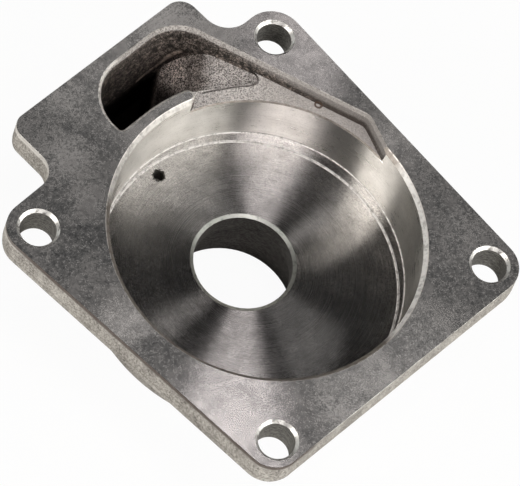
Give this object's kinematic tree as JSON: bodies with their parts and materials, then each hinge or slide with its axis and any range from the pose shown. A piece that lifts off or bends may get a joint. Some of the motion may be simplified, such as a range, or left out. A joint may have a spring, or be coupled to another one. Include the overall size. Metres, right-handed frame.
{
  "type": "water pump housing",
  "caption": "Cast pump housing: gasket plate with bolt ears, round impeller pocket, volute shelf and port, bored bearing boss behind.",
  "frame": {"origin": "on the shaft axis, in the rear face of the bearing boss, where the bearing bore opens", "axes": "+Z along the shaft axis, out of the open pocket and square to the gasket face; +X and +Y along the two diagonals that join opposite bolt holes, +Y towards the ear beside the volute shelf's port"},
  "size_m": [0.1634, 0.1617, 0.0635],
  "materials": {
    "casting": "as cast skin, machined gasket face, turned and polished pocket"
  },
  "bodies": {
    "root": {"pump_housing": "casting"}
  },
  "joints": []
}
